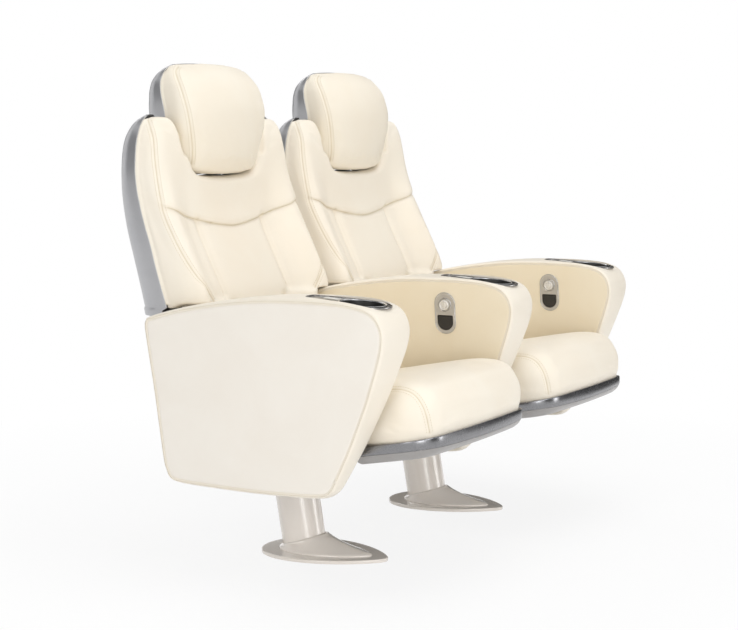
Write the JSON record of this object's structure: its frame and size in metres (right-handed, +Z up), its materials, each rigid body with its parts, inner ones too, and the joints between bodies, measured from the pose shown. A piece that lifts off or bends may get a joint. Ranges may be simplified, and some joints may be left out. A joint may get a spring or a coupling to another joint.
{
  "type": "auditorium seat row",
  "caption": "Two-place auditorium seat with reclining backs, nested headrests, shared padded arms with cup holders and leaning pedestals.",
  "frame": {"origin": "on the floor, below the middle of the two-place row", "axes": "+X along the row, to the right of an observer who faces the seats; the sitter looks along -Y; +Z up"},
  "size_m": [1.37, 0.8042, 1.126],
  "materials": {
    "pedestal_enamel": "glossy pearl beige enamel",
    "frame_steel": "black powder coat",
    "shell_grey": "silver-grey metallic lacquer",
    "band_metal": "satin, brushed along the band",
    "leather": "smooth cream leather with a fine grain",
    "arm_leather": "smooth cream leather with a fine grain",
    "panel_leather": "smooth pale leather over a flat panel",
    "bush_plastic": "black plain bearing plastic",
    "rod_steel": "polished",
    "control_metal": "satin",
    "window_plastic": "black gloss",
    "button_metal": "polished rim and pale face",
    "cup_metal": "dark polished inside",
    "tray_metal": "satin with a polished edge",
    "plaque_plastic": "pale, bare"
  },
  "bodies": {
    "row_frame": {"base_left": "pedestal_enamel", "column_left": "pedestal_enamel", "base_cover_left": "pedestal_enamel", "slide_bars_left": "frame_steel", "recline_brackets_left": "frame_steel", "control_plate_left": "control_metal", "control_window_left": "window_plastic", "base_right": "pedestal_enamel", "column_right": "pedestal_enamel", "base_cover_right": "pedestal_enamel", "slide_bars_right": "frame_steel", "recline_brackets_right": "frame_steel", "control_plate_right": "control_metal", "control_window_right": "window_plastic", "upright_left": "frame_steel", "arm_body_left": "arm_leather", "arm_panels_left": "panel_leather", "cup_left": "cup_metal", "tray_left": "tray_metal", "upright_middle": "frame_steel", "arm_body_middle": "arm_leather", "arm_panels_middle": "panel_leather", "cup_middle": "cup_metal", "tray_middle": "tray_metal", "upright_right": "frame_steel", "arm_body_right": "arm_leather", "arm_panels_right": "panel_leather", "cup_right": "cup_metal", "tray_right": "tray_metal", "row_beam": "frame_steel", "number_plaques": "plaque_plastic"},
    "back_left": {"back_frame_left": "frame_steel", "guide_bushes_left": "bush_plastic", "back_shell_left": "shell_grey", "back_pad_left": "leather"},
    "headrest_left": {"headrest_rods_left": "rod_steel", "headrest_shell_left": "shell_grey", "headrest_pad_left": "leather"},
    "seat_left": {"runners_left": "frame_steel", "seat_pan_left": "frame_steel", "under_shell_left": "shell_grey", "trim_band_left": "band_metal", "seat_cushion_left": "leather"},
    "button_left": {"recline_button_left": "button_metal"},
    "back_right": {"back_frame_right": "frame_steel", "guide_bushes_right": "bush_plastic", "back_shell_right": "shell_grey", "back_pad_right": "leather"},
    "headrest_right": {"headrest_rods_right": "rod_steel", "headrest_shell_right": "shell_grey", "headrest_pad_right": "leather"},
    "seat_right": {"runners_right": "frame_steel", "seat_pan_right": "frame_steel", "under_shell_right": "shell_grey", "trim_band_right": "band_metal", "seat_cushion_right": "leather"},
    "button_right": {"recline_button_right": "button_metal"}
  },
  "joints": [
    {"name": "recline_left", "type": "hinge", "parent": "row_frame", "child": "back_left", "pos_m": [-0.31, 0.195, 0.36], "axis": [-1, 0, 0], "range_deg": [0, 16]},
    {"name": "headrest_height_left", "type": "slide", "parent": "back_left", "child": "headrest_left", "axis": [0, 0, 1], "range_m": [0, 0.06]},
    {"name": "seat_slide_left", "type": "slide", "parent": "row_frame", "child": "seat_left", "axis": [0, -1, 0], "range_m": [0, 0.04]},
    {"name": "recline_button_left", "type": "slide", "parent": "row_frame", "child": "button_left", "axis": [0.994, 0, 0.1097], "range_m": [0, 0.004], "stiffness_N_per_m": 600, "springref_m": -0.002},
    {"name": "recline_right", "type": "hinge", "parent": "row_frame", "child": "back_right", "pos_m": [0.31, 0.195, 0.36], "axis": [-1, 0, 0], "range_deg": [0, 16]},
    {"name": "headrest_height_right", "type": "slide", "parent": "back_right", "child": "headrest_right", "axis": [0, 0, 1], "range_m": [0, 0.06]},
    {"name": "seat_slide_right", "type": "slide", "parent": "row_frame", "child": "seat_right", "axis": [0, -1, 0], "range_m": [0, 0.04]},
    {"name": "recline_button_right", "type": "slide", "parent": "row_frame", "child": "button_right", "axis": [0.994, 0, 0.1097], "range_m": [0, 0.004], "stiffness_N_per_m": 600, "springref_m": -0.002}
  ],
  "couplings": [
    {"joint": "seat_slide_left", "follows": "recline_left", "m_per_rad": 0.14},
    {"joint": "seat_slide_right", "follows": "recline_right", "m_per_rad": 0.14}
  ]
}
